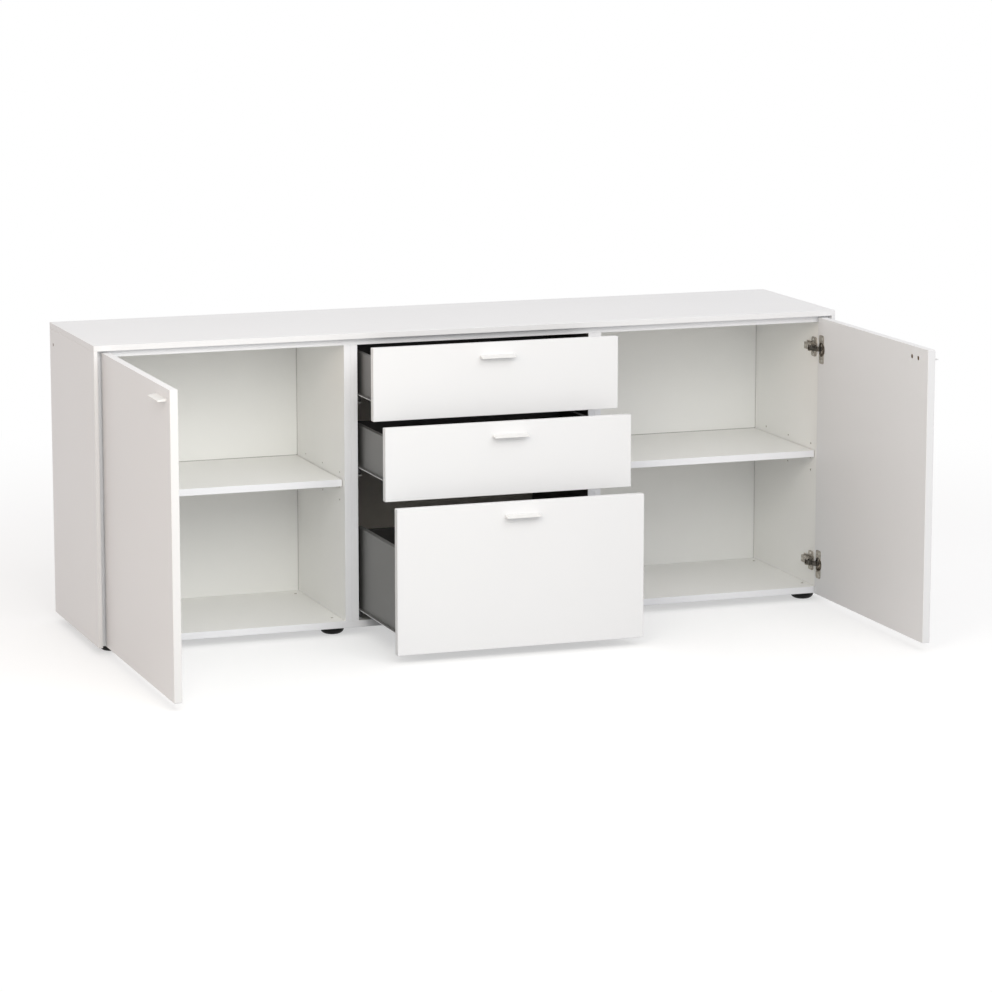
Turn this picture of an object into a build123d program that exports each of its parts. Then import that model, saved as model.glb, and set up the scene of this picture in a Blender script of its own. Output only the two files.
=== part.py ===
# Low sideboard with two hinged doors and three drawers.
# Lengths are in millimetres. X runs along the front, Y from front to back, Z up.
# The origin lies on the floor, in the middle of the box that holds the open sideboard.
# Every piece stands as it is shown: both doors open at a right angle, drawers pulled out.
import os
from math import atan2, cos, degrees, hypot, radians, sin

from build123d import *

os.makedirs("parts", exist_ok=True)

# Overall sizes
width = 1800.0
depth = 423.0
foot_height = 20.0
side_height = 672.0
top_thickness = 13.0

# Board thicknesses
cover_thickness = 9.0
carcass_side_thickness = 22.0
board = 16.0
back_thickness = 8.0
front_thickness = 18.0
drawer_board = 12.0
drawer_bottom_thickness = 8.0
edge_radius = 0.8
front_edge_radius = 1.2

# Places and gaps of the boards
back_inset = 22.0
bay_width = 563.0
bumper_gap = 2.0
front_gap = 3.5
top_gap = 3.5
drawer_gap = 2.5
shelf_gap = 1.0
shelf_setback = 18.0
shelf_rise = 320.0

# Shelf pins
pin_radius = 2.5
pin_hole_depth = 10.0
pin_reach = 8.0
pin_collar_radius = 4.0
pin_clearance = 0.05
pin_row_pitch = 32.0
pin_columns = 3
pin_front_inset = 41.0
pin_back_inset = 66.0

# Levelling feet
foot_radius = 28.0
foot_round = 14.0
stem_radius = 4.0
stem_setback = 3.0
stem_clearance = 0.1
key_radius = 2.3
key_depth = 6.0
foot_side_inset = 14.0
foot_partition_inset = 18.0
foot_front_inset = 49.0
foot_back_inset = 63.0

# Small fixing hole in each cover panel
fixing_hole_radius = 4.0
fixing_hole_back = 32.0
fixing_hole_drop = 36.0

# Concealed door hinges
hinge_inset = 75.0
arm_pivot_in = 16.0
arm_pivot_back = 13.0
cup_pivot_wall = 5.5
cup_pivot_deep = 5.0
link_turn = 24.4
link_thickness = 2.5
link_half = 5.5
link_eye = 2.6
arm_pin_radius = 1.5
cup_pin_radius = 1.2
running_clearance = 0.05
arm_cheek = 2.0
arm_slot_clearance = 0.4
arm_front = 4.5
arm_back = 50.0
arm_top = 4.5
arm_slot_back = 8.0
arm_round = 2.0
tail_start = 20.0
tail_rise = 12.0
neck_start = 10.0
neck_start_depth = 6.0
neck_end = 8.0
neck_depth = 8.0
neck_lip = 2.4
neck_lip_depth = 6.6
neck_round = 2.2
plate_thickness = 3.0
plate_wing_half = 23.0
plate_wing_width = 24.0
plate_wing_back = 27.5
plate_wing_round = 5.0
plate_overhang = 3.0
plate_screw_spread = 17.0
cup_radius = 17.5
cup_wall = 0.8
cup_floor = 0.8
cup_depth = 12.3
cup_edge = 21.5
cup_fit = 0.1
flange_thickness = 1.2
flange_half_height = 34.0
flange_half_width = 13.0
flange_round = 6.0
flange_screw_spread = 26.0
flange_screw_in = 6.0
mouth_half = 9.5
mouth_reach = 8.0

# Screws
screw_radius = 2.0
screw_head_radius = 3.6
screw_head = 0.5
plate_screw_head = 1.6
screw_length = 10.0
screw_clearance = 0.05
handle_screw_radius = 1.6
handle_screw_low = 2.9
handle_screw_head_radius = 3.8
handle_screw_head = 2.6
handle_screw_bite = 7.0
handle_screw_spare = 0.5
handle_screw_pitch = 32.0
handle_pocket_radius = 5.0
handle_pocket_depth = 6.0

# Lip handles
handle_length = 82.0
handle_reach = 20.0
handle_root = 6.5
handle_tip = 2.6
handle_round = 0.6
drawer_handle_drop = 27.0
door_handle_drop = 21.0
handle_edge_inset = 66.0

# Drawers
small_front_height = 166.0
small_box_height = 94.0
tall_box_height = 188.0
small_box_rise = 38.0
tall_box_rise = 39.0
box_back_gap = 20.0
box_side_gap = 12.0
box_floor_rise = 2.0
box_back_drop = 8.0
top_stay = 176.0
middle_stay = 92.0
bottom_stay = 10.0

# Roller runners
rail_thickness = 1.2
flange_gap = 0.8
rail_front_inset = 2.0
rail_hook_drop = 9.0
roller_floor_gap = 1.0
channel_front_gap = 5.0
channel_back_gap = 13.0
channel_side_gap = 1.1
rail_plate_front = 3.0
front_roller_radius = 8.0
front_roller_back = 13.0
rear_roller_inset = 10.0
roller_gap = 0.3
roller_wall_gap = 0.9
roller_plate_gap = 2.1
roller_stop_gap = 2.65
axle_radius = 2.5
rear_tab_half = 8.0
rear_tab_below = 4.5

# Main planes across the front
half = width / 2
cover_x = half - cover_thickness
wall_x = cover_x - carcass_side_thickness
bay_x = bay_width / 2
bay_panel_x = bay_x + board
partition_x = bay_panel_x + board
door_hinge_x = cover_x - front_gap
door_width = door_hinge_x - bay_panel_x
drawer_half = bay_panel_x - front_gap

# Main planes in height
base_z = foot_height
under_top_z = base_z + side_height
top_z = under_top_z + top_thickness
floor_z = base_z + board
ceiling_z = under_top_z - board
front_top_z = under_top_z - top_gap
hinge_heights = (base_z + hinge_inset, front_top_z - hinge_inset)
shelf_middle = floor_z + shelf_rise

# Hinge linkage in plan, for the door on the right, with y counted from the cabinet's front.
# The link turns on the arm's pin and the door's cup turns on the link's other pin.
recess = front_thickness + bumper_gap
arm_pin_x = wall_x - arm_pivot_in
arm_pin_y = recess + arm_pivot_back
cup_pivot_edge = cup_edge - cup_radius + cup_pivot_wall
shut_x = door_hinge_x - cup_pivot_edge - arm_pin_x
shut_y = front_thickness - cup_pivot_deep - arm_pin_y
link_length = hypot(shut_x, shut_y)
link_angle = degrees(atan2(shut_y, shut_x)) - link_turn
cup_pin_x = arm_pin_x + link_length * cos(radians(link_angle))
cup_pin_y = arm_pin_y + link_length * sin(radians(link_angle))
door_outer_x = cup_pin_x + front_thickness - cup_pivot_deep
door_inner_x = door_outer_x - front_thickness
door_edge_y = cup_pin_y + cup_pivot_edge
door_reach = door_width - door_edge_y

# Main planes in depth, with the open doors and the back equally far from the origin
front_y = (door_reach - depth) / 2
carcass_y = front_y + recess
back_y = front_y + depth
back_face_y = back_y - back_inset - back_thickness
door_edge = front_y + door_edge_y
door_free = door_edge - door_width

sides = {"left": -1, "right": 1}


def save(piece, name):
    piece.part.label = name
    export_step(piece.part, f"parts/{name}.step")


def board_between(x_pair, y_pair, z_pair, radius=edge_radius):
    # A flat board with softened edges, given by its faces.
    x_low, x_high = sorted(x_pair)
    with BuildPart() as piece:
        with BuildSketch(Plane.XY.offset(z_pair[0])):
            with Locations(((x_low + x_high) / 2, sum(y_pair) / 2)):
                Rectangle(x_high - x_low, y_pair[1] - y_pair[0])
        extrude(amount=z_pair[1] - z_pair[0])
        fillet(piece.edges(), radius=radius)
    return piece


def facing(x, y, z, x_direction=0, y_direction=0, z_direction=0):
    # A plane at a point whose normal points the given way.
    normal = (x_direction, y_direction, z_direction)
    return Plane(origin=(x, y, z), z_dir=normal)


def upright(x, y, z, direction):
    # A plane on an upright board's face, with its first axis to the back.
    return Plane(origin=(x, y, z), x_dir=(0, 1, 0), z_dir=(direction, 0, 0))


def block(x_pair, y_pair, z_pair, mode=Mode.ADD):
    # A plain block between three pairs of faces, for use inside a part.
    centre = (sum(x_pair) / 2, sum(y_pair) / 2, sum(z_pair) / 2)
    with Locations(centre):
        Box(abs(x_pair[1] - x_pair[0]), y_pair[1] - y_pair[0], z_pair[1] - z_pair[0], mode=mode)


def peg(plane, radius, length):
    # A round peg on a plane, along its normal, or against it if the length is negative.
    end = Align.MIN if length > 0 else Align.MAX
    with Locations(plane):
        Cylinder(radius, abs(length), align=(Align.CENTER, Align.CENTER, end))


def pin_places():
    # Rows of holes for the shelf pins: the middle row carries the shelf.
    middle = shelf_middle - board / 2 - pin_radius
    first = carcass_y + pin_front_inset
    pitch = (back_face_y - pin_back_inset - first) / (pin_columns - 1)
    columns = [first + i * pitch for i in range(pin_columns)]
    rows = [middle - pin_row_pitch, middle, middle + pin_row_pitch]
    return [(y, z) for y in columns for z in rows], [(y, middle) for y in columns]


pin_holes, pin_seats = pin_places()

# Top plate, lying over everything
top_plate = board_between((-half, half), (front_y, back_y), (under_top_z, top_z))
save(top_plate, "top_plate")

# Cover panels: the outer skin of both ends, reaching forward to hide the door edges
for side, s in sides.items():
    skin = board_between((s * cover_x, s * half), (front_y, back_y), (base_z, under_top_z))
    with BuildPart() as cover:
        add(skin.part)
        hole_y = back_y - fixing_hole_back
        hole_z = under_top_z - fixing_hole_drop
        with Locations(facing(s * half, hole_y, hole_z, x_direction=s)):
            Hole(radius=fixing_hole_radius, depth=cover_thickness)
    save(cover, f"{side}_cover_panel")

# Carcass sides, with the shelf pin holes and the pilot holes for the hinge plates
plate_y = carcass_y + plate_wing_back
for side, s in sides.items():
    wall = board_between((s * wall_x, s * cover_x), (carcass_y, back_y), (base_z, under_top_z))
    with BuildPart() as carcass_side:
        add(wall.part)
        with Locations(*[facing(s * wall_x, y, z, x_direction=-s) for y, z in pin_holes]):
            Hole(radius=pin_radius, depth=pin_hole_depth)
        for z in hinge_heights:
            spots = [(plate_y, z - plate_screw_spread), (plate_y, z + plate_screw_spread)]
            with Locations(*[facing(s * wall_x, y, h, x_direction=-s) for y, h in spots]):
                Hole(radius=screw_radius + screw_clearance, depth=screw_length)
    save(carcass_side, f"{side}_carcass_side")

# Carcass top and bottom, running the whole width between the carcass sides
carcass_top = board_between((-wall_x, wall_x), (carcass_y, back_y), (ceiling_z, under_top_z))
save(carcass_top, "carcass_top")

foot_x = [wall_x - foot_side_inset, partition_x + foot_partition_inset]
foot_y = [carcass_y + foot_front_inset, back_y - foot_back_inset]
foot_places = [(s * x, y) for s in sides.values() for x in foot_x for y in foot_y]

floor_board = board_between((-wall_x, wall_x), (carcass_y, back_y), (base_z, floor_z))
with BuildPart() as carcass_bottom:
    add(floor_board.part)
    with Locations(*[facing(x, y, floor_z, z_direction=1) for x, y in foot_places]):
        Hole(radius=stem_radius, depth=board)
save(carcass_bottom, "carcass_bottom")

# Upright boards: a white partition and the bay's own panel stand back to back on each side
for side, s in sides.items():
    upright_y = (carcass_y, back_y)
    upright_z = (floor_z, ceiling_z)
    inner_board = board_between((s * bay_panel_x, s * partition_x), upright_y, upright_z)
    with BuildPart() as partition:
        add(inner_board.part)
        with Locations(*[facing(s * partition_x, y, z, x_direction=s) for y, z in pin_holes]):
            Hole(radius=pin_radius, depth=pin_hole_depth)
    save(partition, f"{side}_partition")
    save(board_between((s * bay_x, s * bay_panel_x), upright_y, upright_z), f"{side}_bay_panel")

# Back panels between the upright boards
back_pair = (back_face_y, back_face_y + back_thickness)
for side, s in sides.items():
    back_panel = board_between((s * partition_x, s * wall_x), back_pair, (floor_z, ceiling_z))
    save(back_panel, f"{side}_back_panel")
centre_back = board_between((-bay_x, bay_x), back_pair, (floor_z, ceiling_z))
save(centre_back, "centre_back_panel")

# One shelf in each door compartment
shelf_y = (carcass_y + shelf_setback, back_face_y - shelf_gap)
shelf_z = (shelf_middle - board / 2, shelf_middle + board / 2)
for side, s in sides.items():
    ends = (s * (partition_x + shelf_gap), s * (wall_x - shelf_gap))
    save(board_between(ends, shelf_y, shelf_z), f"{side}_shelf")

# Shelf pins: a shank in the board, a thin collar against it and a peg under the shelf
pin_faces = []
for s in sides.values():
    for y, z in pin_seats:
        pin_faces.append(facing(s * partition_x, y, z, x_direction=s))
        pin_faces.append(facing(s * wall_x, y, z, x_direction=-s))

with BuildPart() as shelf_pins:
    for plane in pin_faces:
        peg(plane, pin_radius - pin_clearance, -(pin_hole_depth - shelf_gap))
        peg(plane, pin_collar_radius, shelf_gap - pin_clearance)
        peg(plane, pin_radius, pin_reach)
save(shelf_pins, "shelf_pins")

# Levelling feet: a round pad and a stem that screws into the bottom, with a key socket on top
stem_hold = board - stem_setback
with BuildPart() as levelling_feet:
    with BuildSketch(Plane.XY):
        with Locations(*foot_places):
            Circle(foot_radius)
    extrude(amount=foot_height)
    fillet(levelling_feet.edges().group_by(Axis.Z)[0], radius=foot_round)
    for x, y in foot_places:
        peg(facing(x, y, foot_height, z_direction=1), stem_radius - stem_clearance, stem_hold)
    with BuildSketch(Plane.XY.offset(foot_height + stem_hold)):
        with Locations(*foot_places):
            RegularPolygon(key_radius, 6)
    extrude(amount=-key_depth, mode=Mode.SUBTRACT)
save(levelling_feet, "levelling_feet")

# Hinge mounting plates: a cross on the carcass side that carries the arm
arm_y = front_y + arm_pin_y
arm_half = link_half + arm_slot_clearance + arm_cheek
arm_face_x = wall_x - plate_thickness
arm_y_pair = (arm_y - arm_front, arm_y + arm_back)
plate_holes = []
for s in sides.values():
    for z in hinge_heights:
        for spread in (-plate_screw_spread, plate_screw_spread):
            plate_holes.append(facing(s * arm_face_x, plate_y, z + spread, x_direction=-s))

with BuildPart() as hinge_plates:
    for s in sides.values():
        for z in hinge_heights:
            plate_x = (s * arm_face_x, s * wall_x)
            with BuildSketch(upright(s * wall_x, plate_y, z, -s)):
                RectangleRounded(plate_wing_width, 2 * plate_wing_half, plate_wing_round)
            extrude(amount=plate_thickness)
            bar_half = arm_half + plate_overhang
            bar_y = (arm_y, arm_y_pair[1] + plate_overhang)
            block(plate_x, bar_y, (z - bar_half, z + bar_half))
    with Locations(*plate_holes):
        Hole(radius=screw_radius + screw_clearance, depth=plate_thickness)
save(hinge_plates, "hinge_plates")

# Plate screws, two to a plate
with BuildPart() as hinge_screws:
    for plane in plate_holes:
        peg(plane, screw_head_radius, plate_screw_head)
        peg(plane, screw_radius, -screw_length)
save(hinge_screws, "hinge_screws")

# Hinge arms: bars along the carcass side, high and forked at the front around the link
arm_outline = [
    (arm_face_x, arm_y_pair[0]),
    (arm_pin_x - arm_top, arm_y_pair[0]),
    (arm_pin_x - arm_top, arm_y + arm_slot_back),
    (wall_x - tail_rise, arm_y + tail_start),
    (wall_x - tail_rise, arm_y_pair[1]),
    (arm_face_x, arm_y_pair[1]),
]
arm_pins_at = [(s * arm_pin_x, arm_y, z) for s in sides.values() for z in hinge_heights]
with BuildPart() as hinge_arms:
    for s in sides.values():
        for z in hinge_heights:
            with BuildSketch(Plane.XY.offset(z - arm_half)):
                with BuildLine():
                    Polyline(*[(s * x, y) for x, y in arm_outline], close=True)
                make_face()
            extrude(amount=2 * arm_half)
    fillet(hinge_arms.edges().filter_by(Axis.Z), radius=arm_round)
    slot_half = link_half + arm_slot_clearance
    for s in sides.values():
        for z in hinge_heights:
            arm_x = (s * (arm_pin_x - arm_top), s * arm_face_x)
            slot_y = (arm_y_pair[0], arm_y + arm_slot_back)
            block(arm_x, slot_y, (z - slot_half, z + slot_half), mode=Mode.SUBTRACT)
    with Locations(*[facing(x, y, z + arm_half, z_direction=1) for x, y, z in arm_pins_at]):
        Hole(radius=arm_pin_radius + running_clearance, depth=2 * arm_half)
save(hinge_arms, "hinge_arms")

with BuildPart() as hinge_arm_pins:
    for x, y, z in arm_pins_at:
        peg(facing(x, y, z - arm_half, z_direction=1), arm_pin_radius, 2 * arm_half)
save(hinge_arm_pins, "hinge_arm_pins")


def link_point(along, across, s):
    # A point of the link, given along and across the line from the arm's pin to the cup's pin.
    turn = radians(link_angle)
    x = arm_pin_x + along * cos(turn) - across * sin(turn)
    y = arm_y + along * sin(turn) + across * cos(turn)
    return s * x, y


# Hinge links: bent plates that reach round the door's edge into the cup
link_path = [
    (0, 0),
    (neck_start, -neck_start_depth),
    (link_length - neck_end, -neck_depth),
    (link_length - neck_lip, -neck_lip_depth),
    (link_length, 0),
]
for side, s in sides.items():
    route = [link_point(along, across, s) for along, across in link_path]
    with BuildPart() as hinge_links:
        for z in hinge_heights:
            with BuildSketch(Plane.XY.offset(z - link_half)):
                with BuildLine():
                    FilletPolyline(*route, radius=neck_round)
                trace(line_width=link_thickness)
                with Locations(route[0], route[-1]):
                    Circle(link_eye)
                with Locations(route[0]):
                    Circle(arm_pin_radius + running_clearance, mode=Mode.SUBTRACT)
                with Locations(route[-1]):
                    Circle(cup_pin_radius + running_clearance, mode=Mode.SUBTRACT)
            extrude(amount=2 * link_half)
    save(hinge_links, f"{side}_hinge_links")


def lip_handle(plane, screw_planes):
    # A lip that slopes down to a thin edge, drawn in a plane through its middle.
    with BuildPart() as handle:
        with BuildSketch(plane):
            with BuildLine():
                Polyline(
                    (0, 0),
                    (0, -handle_root),
                    (handle_reach, -handle_root),
                    (handle_reach, handle_tip - handle_root),
                    close=True,
                )
            make_face()
        extrude(amount=handle_length / 2, both=True)
        fillet(handle.edges(), radius=handle_round)
        with Locations(*screw_planes):
            Hole(radius=handle_screw_radius + screw_clearance, depth=handle_screw_bite)
    return handle


def front_screws(planes):
    # Screws that hold a handle from behind: planes lie on the pocket floors and point at the handle.
    shank = front_thickness - handle_pocket_depth + handle_screw_bite - handle_screw_spare
    for plane in planes:
        peg(plane, handle_screw_head_radius, -handle_screw_head)
        peg(plane, handle_screw_radius, shank)


# Doors, standing open at a right angle to the front
cup_y = door_edge - cup_edge
cup_cavity = cup_radius - cup_wall
cup_pin_offset = cup_edge - cup_pivot_edge
cup_pin_half = (cup_radius**2 - (cup_pin_offset + cup_pin_radius) ** 2) ** 0.5 - cup_fit
flange_screw_y = cup_y - flange_screw_in
door_handle_y = door_free + handle_edge_inset
door_handle_z = front_top_z - door_handle_drop
screw_steps = (-handle_screw_pitch / 2, handle_screw_pitch / 2)
for side, s in sides.items():
    inner = s * door_inner_x
    outer = s * door_outer_x
    cups = [facing(inner, cup_y, z, x_direction=-s) for z in hinge_heights]
    flange_screws = []
    for z in hinge_heights:
        for spread in (-flange_screw_spread, flange_screw_spread):
            flange_screws.append(facing(inner, flange_screw_y, z + spread, x_direction=-s))
    handle_screw_z = door_handle_z - handle_root + handle_screw_low
    screw_y = [door_handle_y + step for step in screw_steps]
    pockets = [facing(inner, y, handle_screw_z, x_direction=-s) for y in screw_y]

    door_y = (door_free, door_edge)
    leaf = board_between((inner, outer), door_y, (base_z, front_top_z), front_edge_radius)
    with BuildPart() as door:
        add(leaf.part)
        with Locations(*cups):
            Hole(radius=cup_radius + cup_fit, depth=cup_depth + cup_fit)
        with Locations(*flange_screws):
            Hole(radius=screw_radius + screw_clearance, depth=screw_length)
        with Locations(*pockets):
            CounterBoreHole(
                radius=handle_screw_radius + screw_clearance,
                counter_bore_radius=handle_pocket_radius,
                counter_bore_depth=handle_pocket_depth,
                depth=front_thickness,
            )
    save(door, f"{side}_door_panel")

    with BuildPart() as hinge_cups:
        for plane in cups:
            peg(plane, cup_radius, -cup_depth)
        for z in hinge_heights:
            with BuildSketch(upright(inner, cup_y, z, -s)):
                RectangleRounded(2 * flange_half_width, 2 * flange_half_height, flange_round)
            extrude(amount=flange_thickness)
        for z in hinge_heights:
            mouth_x = (inner, s * (door_inner_x - flange_thickness))
            mouth_y = (cup_y - mouth_reach, cup_y + flange_half_width)
            block(mouth_x, mouth_y, (z - mouth_half, z + mouth_half), mode=Mode.SUBTRACT)
        with Locations(*cups):
            Hole(radius=cup_cavity, depth=cup_depth - cup_floor)
        with Locations(*[plane.offset(flange_thickness) for plane in flange_screws]):
            Hole(radius=screw_radius + screw_clearance, depth=flange_thickness)
        for z in hinge_heights:
            pin_foot = facing(s * cup_pin_x, front_y + cup_pin_y, z - cup_pin_half, z_direction=1)
            peg(pin_foot, cup_pin_radius, 2 * cup_pin_half)
    save(hinge_cups, f"{side}_hinge_cups")

    handle_plane = Plane(
        origin=(outer, door_handle_y, door_handle_z), x_dir=(s, 0, 0), z_dir=(0, -s, 0)
    )
    roots = [facing(outer, y, handle_screw_z, x_direction=-s) for y in screw_y]
    save(lip_handle(handle_plane, roots), f"{side}_door_handle")

    pocket_floor = s * (door_inner_x + handle_pocket_depth)
    with BuildPart() as door_screws:
        front_screws([facing(pocket_floor, y, handle_screw_z, x_direction=s) for y in screw_y])
        for plane in flange_screws:
            peg(plane.offset(flange_thickness), screw_head_radius, screw_head)
            peg(plane.offset(flange_thickness), screw_radius, -screw_length)
    save(door_screws, f"{side}_door_screws")

# Runner sizes across the gap between the box and the bay, and up from the bottom of the box side
box_x = bay_x - box_side_gap
box_inner_x = box_x - drawer_board
rail_face_x = box_x + rail_thickness
rail_edge_x = bay_x - rail_thickness - roller_plate_gap
roller_x = rail_face_x + roller_wall_gap
roller_width = rail_edge_x - roller_x
plate_face_x = bay_x - rail_thickness
channel_edge_x = rail_face_x + channel_side_gap
channel_high = -2 * rail_thickness - flange_gap
front_axle_rise = -rail_thickness - roller_gap - front_roller_radius
channel_low = front_axle_rise - front_roller_radius - roller_floor_gap
rear_roller_radius = (channel_high - channel_low) / 2 - roller_gap
rear_axle_rise = (channel_low + channel_high) / 2
front_axle_y = carcass_y + front_roller_back
channel_y = (front_axle_y + front_roller_radius + channel_front_gap, back_face_y - channel_back_gap)
axle_spare = roller_wall_gap / 2

# How far a drawer runs before its rear rollers come up to the front rollers
box_length = back_face_y - carcass_y + bumper_gap - box_back_gap
shut_rear_axle = carcass_y - bumper_gap + box_length - rear_roller_inset
travel = shut_rear_axle - front_axle_y - front_roller_radius - rear_roller_radius - roller_stop_gap

# Drawers: name, bottom of the front, its height, height of the box, its rise, how far it is pulled
tall_front_height = front_top_z - base_z - 2 * (small_front_height + drawer_gap)
middle_z = base_z + tall_front_height + drawer_gap
top_front_z = middle_z + small_front_height + drawer_gap
drawers = [
    ("top", top_front_z, small_front_height, small_box_height, small_box_rise, travel - top_stay),
    ("middle", middle_z, small_front_height, small_box_height, small_box_rise, travel - middle_stay),
    ("bottom", base_z, tall_front_height, tall_box_height, tall_box_rise, travel - bottom_stay),
]


def cabinet_rail(s, z):
    # The fixed channel on the bay's panel, with the front roller's axle. Its lower flange passes under
    # that roller, its upper one stays behind it.
    plate_y_pair = (carcass_y + rail_plate_front, channel_y[1])
    plate_z_pair = (z + channel_low - rail_thickness, z + channel_high + rail_thickness)
    block((s * plate_face_x, s * bay_x), plate_y_pair, plate_z_pair)
    flange_x = (s * channel_edge_x, s * bay_x)
    block(flange_x, plate_y_pair, (z + channel_low - rail_thickness, z + channel_low))
    block(flange_x, channel_y, (z + channel_high, z + channel_high + rail_thickness))
    axle = facing(s * plate_face_x, front_axle_y, z + front_axle_rise, x_direction=-s)
    peg(axle, axle_radius, plate_face_x - roller_x + axle_spare)


def drawer_rail(s, inside_y, z):
    # The strip under the box side, which runs on the front roller, with a tab for the rear roller and
    # its front end bent down.
    rear_y = inside_y + box_length
    axle_y = rear_y - rear_roller_inset
    strip_y = (inside_y + rail_front_inset, rear_y)
    block((s * box_inner_x, s * rail_edge_x), strip_y, (z - rail_thickness, z))
    hook_y = (strip_y[0], strip_y[0] + rail_thickness)
    block((s * box_x, s * rail_edge_x), hook_y, (z - rail_hook_drop, z))
    tab_y = (axle_y - rear_tab_half, rear_y)
    tab_z = (z + rear_axle_rise - rear_tab_below, z)
    block((s * box_x, s * rail_face_x), tab_y, tab_z)
    axle = facing(s * rail_face_x, axle_y, z + rear_axle_rise, x_direction=s)
    peg(axle, axle_radius, roller_wall_gap + roller_width + axle_spare)


def roller_pair(y, z, radius):
    # Two plain rollers on one line, one on each side of the drawer.
    with BuildPart() as rollers:
        for s in sides.values():
            with BuildSketch(facing(s * roller_x, y, z, x_direction=s)):
                Circle(radius)
                Circle(axle_radius + running_clearance, mode=Mode.SUBTRACT)
            extrude(amount=roller_width)
    return rollers


with BuildPart() as cabinet_rails:
    for name, front_z, front_h, box_h, rise, pull in drawers:
        for s in sides.values():
            cabinet_rail(s, front_z + rise)
save(cabinet_rails, "cabinet_rails")

for name, front_z, front_h, box_h, rise, pull in drawers:
    face_y = front_y - pull
    inside_y = face_y + front_thickness
    rear_y = inside_y + box_length
    box_z = front_z + rise
    handle_z = front_z + front_h - drawer_handle_drop
    screw_z = handle_z - handle_root + handle_screw_low
    pockets = [facing(x, inside_y, screw_z, y_direction=1) for x in screw_steps]

    face_x = (-drawer_half, drawer_half)
    face_z = (front_z, front_z + front_h)
    leaf = board_between(face_x, (face_y, inside_y), face_z, front_edge_radius)
    with BuildPart() as drawer_front:
        add(leaf.part)
        with Locations(*pockets):
            CounterBoreHole(
                radius=handle_screw_radius + screw_clearance,
                counter_bore_radius=handle_pocket_radius,
                counter_bore_depth=handle_pocket_depth,
                depth=front_thickness,
            )
    save(drawer_front, f"{name}_drawer_front")

    with BuildPart() as drawer_sides:
        for s in sides.values():
            block((s * box_inner_x, s * box_x), (inside_y, rear_y), (box_z, box_z + box_h))
        fillet(drawer_sides.edges().filter_by(Axis.Y), radius=edge_radius)
    save(drawer_sides, f"{name}_drawer_sides")

    across = (-box_inner_x, box_inner_x)
    floor_low = box_z + box_floor_rise
    back_y_pair = (rear_y - drawer_board, rear_y)
    save(
        board_between(across, back_y_pair, (floor_low, box_z + box_h - box_back_drop)),
        f"{name}_drawer_back",
    )
    floor_pair = (floor_low, floor_low + drawer_bottom_thickness)
    save(
        board_between(across, (inside_y, rear_y - drawer_board), floor_pair),
        f"{name}_drawer_bottom",
    )

    handle_plane = Plane(origin=(0, face_y, handle_z), x_dir=(0, -1, 0), z_dir=(-1, 0, 0))
    roots = [facing(x, face_y, screw_z, y_direction=1) for x in screw_steps]
    save(lip_handle(handle_plane, roots), f"{name}_drawer_handle")

    with BuildPart() as drawer_screws:
        pocket_floor = inside_y - handle_pocket_depth
        front_screws([facing(x, pocket_floor, screw_z, y_direction=-1) for x in screw_steps])
    save(drawer_screws, f"{name}_drawer_screws")

    with BuildPart() as drawer_rails:
        for s in sides.values():
            drawer_rail(s, inside_y, box_z)
    save(drawer_rails, f"{name}_drawer_rails")

    front_pair = roller_pair(front_axle_y, box_z + front_axle_rise, front_roller_radius)
    save(front_pair, f"{name}_front_rollers")
    rear_axle_y = rear_y - rear_roller_inset
    rear_pair = roller_pair(rear_axle_y, box_z + rear_axle_rise, rear_roller_radius)
    save(rear_pair, f"{name}_rear_rollers")
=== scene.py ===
# %% [markdown]
# # A white sideboard, dressed for the studio
#
# The sideboard's boards, hinges and runners already exist as solids. This lesson loads them as a fixed
# frame, puts a camera where the photographer stood, lights a small white studio, and then gives every
# board and fitting the finish and the small detail of the real one.

# %% Load the frame
import math

import bmesh
import bpy
from mathutils import Matrix, Vector


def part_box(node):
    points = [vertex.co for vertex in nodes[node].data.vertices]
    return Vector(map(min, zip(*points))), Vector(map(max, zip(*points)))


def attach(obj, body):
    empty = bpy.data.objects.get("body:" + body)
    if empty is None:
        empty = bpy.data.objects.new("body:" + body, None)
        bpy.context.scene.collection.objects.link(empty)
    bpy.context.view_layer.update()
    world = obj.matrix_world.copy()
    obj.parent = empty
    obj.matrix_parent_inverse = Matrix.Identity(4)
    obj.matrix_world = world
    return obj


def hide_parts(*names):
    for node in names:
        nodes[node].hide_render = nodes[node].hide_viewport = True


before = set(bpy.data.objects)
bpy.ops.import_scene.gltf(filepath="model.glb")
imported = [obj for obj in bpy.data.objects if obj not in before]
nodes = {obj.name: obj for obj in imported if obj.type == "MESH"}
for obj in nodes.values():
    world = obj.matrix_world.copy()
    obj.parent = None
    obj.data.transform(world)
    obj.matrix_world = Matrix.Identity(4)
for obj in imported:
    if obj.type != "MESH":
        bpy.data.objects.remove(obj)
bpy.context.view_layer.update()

# %% [markdown]
# ## The camera
#
# The photograph was taken from the left, a little above the top plate, with a long lens, so that the far
# end is hardly smaller than the near end. A camera could be placed by eye, but the long edges of the
# sideboard fix it much better: the place, the turn and the lens here come from fitting those edges.

# %% Set the camera
camera_data = bpy.data.cameras.new("studio_camera")
camera_data.sensor_width = 36.0
camera_data.lens = 139.497
camera_data.clip_end = 200.0
camera = bpy.data.objects.new("studio_camera", camera_data)
camera.location = (-2.904908, -8.158116, 1.899508)
camera_tilt = math.radians(90.0 - 10.2989)
camera_turn = math.radians(-19.717)
camera.rotation_euler = (camera_tilt, 0.0, camera_turn)
bpy.context.scene.collection.objects.link(camera)
bpy.context.scene.camera = camera
bpy.context.scene.view_settings.view_transform = "Standard"
print("camera", tuple(camera.location), "lens", camera_data.lens)

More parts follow.
